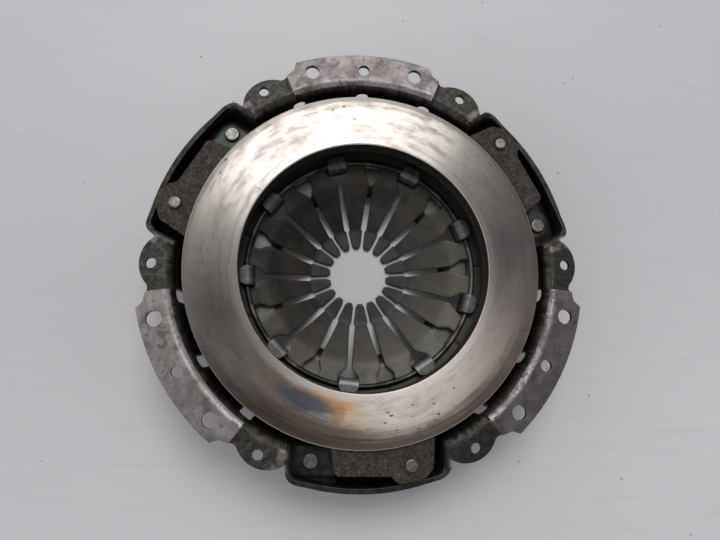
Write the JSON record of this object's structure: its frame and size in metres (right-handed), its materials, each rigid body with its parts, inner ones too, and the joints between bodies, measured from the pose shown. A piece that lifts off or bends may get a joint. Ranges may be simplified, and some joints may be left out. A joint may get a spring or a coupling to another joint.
{
  "type": "clutch pressure plate",
  "caption": "Round pressed steel clutch cover with a ring-shaped cast pressure plate hung on strap springs and a slotted diaphragm spring that clamps it.",
  "frame": {"origin": "centre of the flywheel mounting plane, on the axis of rotation", "axes": "+Z along the axis of rotation towards the flywheel; +Y through the middle of one flange sector"},
  "size_m": [0.2468, 0.2502, 0.0499],
  "materials": {
    "cover_steel": "bare pressed steel, dull and lightly rusted",
    "plate_iron": "turned friction face with heat marks, rough cast elsewhere",
    "spring_steel": "dark heat treated spring steel, matt",
    "ring_wire": "drawn wire",
    "strap_steel": "blued spring steel strip",
    "rivet_steel": "bare pressed rivet heads"
  },
  "bodies": {
    "cover_assembly": {"cover": "cover_steel", "diaphragm_spring": "spring_steel", "fulcrum_ring_upper": "ring_wire", "fulcrum_ring_lower": "ring_wire", "strap_1_leaf_1": "strap_steel", "strap_1_leaf_2": "strap_steel", "strap_1_leaf_3": "strap_steel", "strap_2_leaf_1": "strap_steel", "strap_2_leaf_2": "strap_steel", "strap_2_leaf_3": "strap_steel", "strap_3_leaf_1": "strap_steel", "strap_3_leaf_2": "strap_steel", "strap_3_leaf_3": "strap_steel", "cover_rivet_1": "rivet_steel", "cover_rivet_2": "rivet_steel", "cover_rivet_3": "rivet_steel"},
    "plate": {"pressure_plate": "plate_iron", "lug_rivet_1": "rivet_steel", "lug_rivet_2": "rivet_steel", "lug_rivet_3": "rivet_steel"}
  },
  "joints": [
    {"name": "plate_slide", "type": "slide", "parent": "cover_assembly", "child": "plate", "axis": [0, 0, 1], "range_m": [-0.005, 0], "stiffness_N_per_m": 60000, "springref_m": 0.004, "deforming": ["diaphragm_spring", "strap_1_leaf_1", "strap_1_leaf_2", "strap_1_leaf_3", "strap_2_leaf_1", "strap_2_leaf_2", "strap_2_leaf_3", "strap_3_leaf_1", "strap_3_leaf_2", "strap_3_leaf_3"]}
  ]
}
